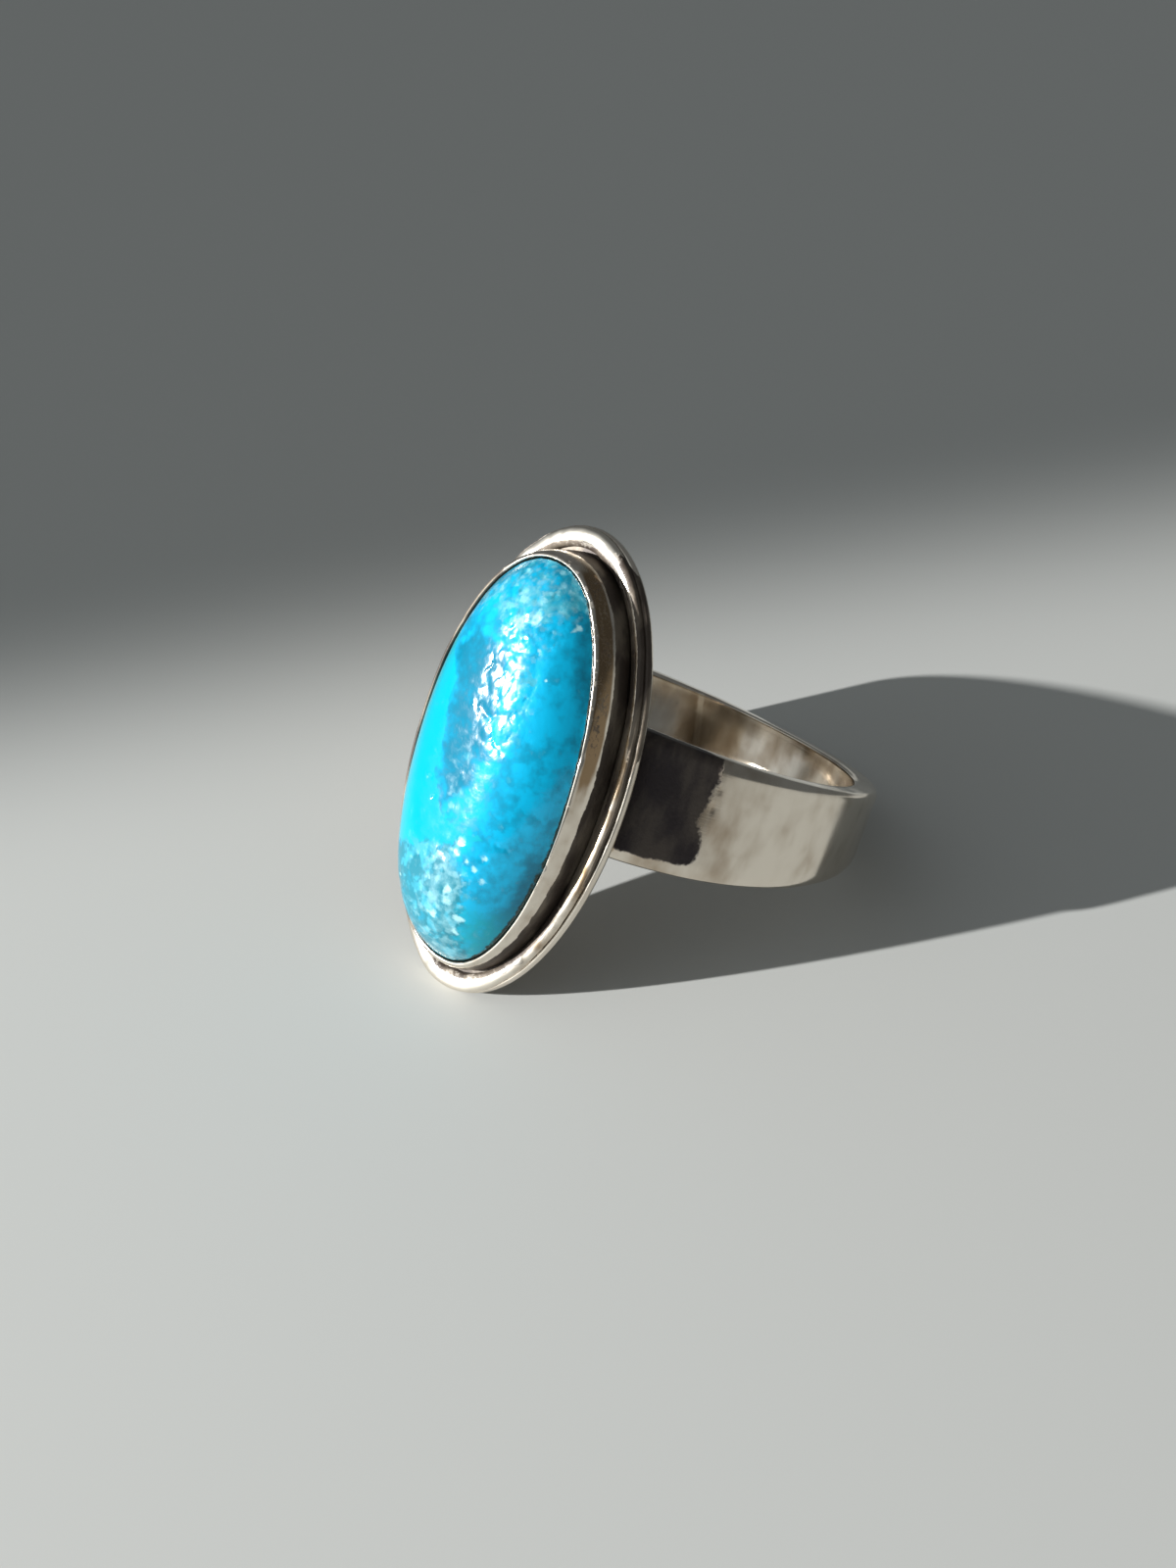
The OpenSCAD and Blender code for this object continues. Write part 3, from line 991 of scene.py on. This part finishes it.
    def execute(self, context):
        band, setting, _ = settings_of(context)
        stone = sizes_mm(context.scene.turquoise_ring.stone)
        rings, under_dome, edge = self.rings_of_points(setting, stone)
        points = np.concatenate(rings)
        dome = np.arange(len(points)) >= under_dome * self.around
        flat = points[:, :2]
        x, y = flat.T
        # Borders wander: every zone is looked up a little off its place.
        sway = np.column_stack([cloud(points, 1, 31, 4), cloud(points, 1, 47, 4)]) * self.wander
        wandered = flat + sway

        def zone(outline_points, soft):
            return step(-soft, soft, inside(outline_points, wandered))

        creased = zone(self.crinkled, 0.35)
        top = zone(self.top_zone, 0.5)
        uneven = 0.55 * zone(self.lower_left, 0.4) + 0.6 * top
        large, small = self.facets
        relief = 0.45 * wrinkles(points, large, 3) + 0.2 * wrinkles(points, small, 9)
        relief += 0.25 * cloud(points, 0.8, 13)
        upper = 1 + 0.7 * step(5, 6.8, y)
        height = stone.crinkle * relief * (0.15 + 0.85 * np.maximum(creased, uneven)) * upper
        # White holds the pale spots, the painted glints and the painted streak of highlight.
        white = np.zeros(len(points))
        tan = np.zeros(len(points))
        for spots, shade in ((self.pale_spots, white), (self.pits, tan)):
            for spot_x, spot_y, reach, depth, strength in spots:
                near = step(reach * 1.3, 0, np.hypot(wandered[:, 0] - spot_x, wandered[:, 1] - spot_y))
                height -= depth * near
                np.maximum(shade, strength * near, out=shade)
        strayed = flat + 0.3 * sway
        parts = zip(self.crack, self.crack[1:])
        from_crack = np.minimum.reduce([far_from_line(strayed, start, end) for start, end in parts])
        height -= self.crack_depth * step(0.12, 0.02, from_crack)
        rim = inside(edge[::4], flat)
        patches = step(-0.3, 0.4, cloud(points, 0.9, 61)) * step(-4.4, -3, x)
        points[:, 2] += np.where(dome, height * step(0, 0.25, rim), 0)

        low_right = step(-3, -7, y) * step(0, 1.5, x)
        cyan = np.maximum(zone(self.cyan_zone, 0.14), 0.55 * low_right)
        mottled = zone(self.lower_left, 0.6)
        grey = 0.9 * mottled + 0.4 * zone(self.top_zone, 0.6)
        deep = zone(self.deep_zone, 0.55)
        # Paler in the clouds and in the crinkled zone, where the paleness is partly a painted highlight.
        pale = 0.7 * zone(self.clouds, 0.5) + 0.5 * creased * (1 - 0.9 * deep)
        pale += 0.5 * top + 0.8 * mottled * patches - 0.5 * deep
        # Darker along the stone's edge under the lip, most of all at the lower right, and a little in the
        # crack.
        lower_right = step(0.5, 2.5, x) * step(-1, -4, y)
        grime = step(0.1 + 0.12 * lower_right, 0, rim) * (0.75 + 0.35 * cloud(points, 0.5, 71))
        grime = np.maximum(grime, 0.4 * step(0.07, 0.01, from_crack))
        # Painted shade: the teal darkens the stone towards its edge at the right, at the top and at the
        # lower right.
        deep = np.maximum.reduce([deep, 0.15 * zone(self.right_edge_shade, 0.5),
                                  0.8 * step(0.9, 0.2, rim) * step(3, 5.5, y),
                                  0.9 * step(0.75, 0.1, rim) * lower_right])
        # Pale cells like lace lie in the mottled zones and, fainter, in the clouds and among the creases,
        # where they are partly a painted highlight.
        rightward = step(-2.5, 1.2, x) * step(2.8, 1.8, x)
        lace = np.maximum.reduce([zone(self.lower_left, 0.9) * (0.2 + 0.75 * rightward),
                                  0.75 * zone(self.top_zone, 0.7), 0.55 * zone(self.clouds, 0.6),
                                  0.45 * creased * (1 - 0.6 * deep)])
        mesh = mesh_from("cabochon", points, ring_faces(len(rings), self.around))
        finish = polished_turquoise(stone)
        finish_piece("cabochon", mesh, finish, "turquoise_stone", "turquoise", setting_axes(setting, band),
                     cyan=cyan, deep=deep, creased=creased, grey=grey, pale=pale, white=white, lace=lace,
                     tan=tan, grime=grime)
        return {"FINISHED"}


class RING_OT_stage(bpy.types.Operator):
    """Set up the plain floor, the lamp, the soft surround and the camera"""

    bl_idname = "ring.stage"
    bl_label = "Stage"

    # Half the floor's width, in metres.
    floor_half = 1.5
    floor_roughness = 0.7
    camera_azimuth = math.radians(43.65)
    camera_elevation = math.radians(35.87)
    camera_distance = 113.26 * MM
    camera_range = (0.01, 10)
    # From the middle of the finger hole to where the camera looks.
    camera_target = Vector((-1.974, -3.146, -1.264)) * MM
    # The lamp stands low in front at the left; its beam's soft edge crosses the floor behind the ring.
    lamp_place = Vector((-0.413, -0.751, 0.279))
    lamp_aim = Vector((0.0927, -0.0724, 0))
    beam_width = math.radians(19.1)
    beam_softness = 0.26
    # How closely the surround's glow keeps to the lamp: more is closer.
    glow_power = 3

    def execute(self, context):
        scene = context.scene
        stage = scene.turquoise_ring.stage
        half = self.floor_half
        corners = [(-half, -half, 0), (half, -half, 0), (half, half, 0), (-half, half, 0)]
        floor = new_object("floor", mesh_from("floor", corners, [(0, 1, 2, 3)]))
        material = bpy.data.materials.new("matt painted board")
        material.use_nodes = True
        shader = material.node_tree.nodes["Principled BSDF"]
        shader.inputs["Base Color"].default_value = (*stage.floor, 1)
        shader.inputs["Roughness"].default_value = self.floor_roughness
        floor.data.materials.append(material)

        light = bpy.data.lights.new("key light", "SPOT")
        light.energy = stage.lamp_power
        light.shadow_soft_size = stage.lamp_size / 2
        light.spot_size = self.beam_width
        light.spot_blend = self.beam_softness
        lamp = new_object("key light", light)
        lamp.location = self.lamp_place
        lamp.rotation_euler = (self.lamp_place - self.lamp_aim).to_track_quat("Z", "Y").to_euler()

        world = bpy.data.worlds.new("soft surround")
        world.use_nodes = True
        tree = world.node_tree
        # The surround is brightest around the lamp, as a pale wall there would be.
        outlook = add_node(tree, "ShaderNodeTexCoord").outputs["Generated"]
        facing = vector_maths(tree, "DOT_PRODUCT", outlook, self.lamp_place.normalized()).outputs["Value"]
        glow = maths(tree, "POWER", maths(tree, "MAXIMUM", facing, 0), self.glow_power)
        strength = maths(tree, "MULTIPLY_ADD", glow, stage.glow, stage.base)
        set_inputs(tree, tree.nodes["Background"], {"Color": (*stage.surround, 1), "Strength": strength})
        scene.world = world

        camera = bpy.data.cameras.new("camera")
        camera.lens = stage.lens
        camera.clip_start, camera.clip_end = self.camera_range
        holder = new_object("camera", camera)
        holder.rotation_euler = (math.pi / 2 - self.camera_elevation, 0, self.camera_azimuth)
        back = holder.rotation_euler.to_matrix() @ Vector((0, 0, 1))
        holder.location = Vector(FINGER_HOLE["pos_m"]) + self.camera_target + back * self.camera_distance
        scene.camera = holder
        scene.view_settings.view_transform = "Standard"
        return {"FINISHED"}


class RING_PT_build(bpy.types.Panel):
    """Sizes and colours, and a button for each piece"""

    bl_label = "Turquoise ring"
    bl_idname = "RING_PT_build"
    bl_space_type = "VIEW_3D"
    bl_region_type = "UI"
    bl_category = "Ring"

    def draw(self, context):
        ring = context.scene.turquoise_ring
        for name in ("band", "setting", "stone", "silver", "stage"):
            group = getattr(ring, name)
            box = self.layout.box()
            box.label(text=name.capitalize())
            for prop in group.bl_rna.properties:
                if prop.identifier not in ("rna_type", "name"):
                    box.prop(group, prop.identifier, text=prop.identifier.replace("_", " ").capitalize())
        for piece in PIECES:
            self.layout.operator(piece.bl_idname)


PIECES = (RING_OT_band, RING_OT_backplate, RING_OT_rim_wire, RING_OT_bezel, RING_OT_cabochon, RING_OT_stage)
CLASSES = (
    BandSettings, SettingSettings, StoneSettings, SilverSettings, StageSettings, RingSettings, *PIECES,
    RING_PT_build,
)


def register():
    for kind in CLASSES:
        bpy.utils.register_class(kind)
    bpy.types.Scene.turquoise_ring = bpy.props.PointerProperty(type=RingSettings)


def unregister():
    del bpy.types.Scene.turquoise_ring
    for kind in reversed(CLASSES):
        bpy.utils.unregister_class(kind)


def main():
    register()
    for piece in PIECES:
        getattr(bpy.ops.ring, piece.bl_idname.split(".")[1])()


if __name__ == "__main__":
    main()
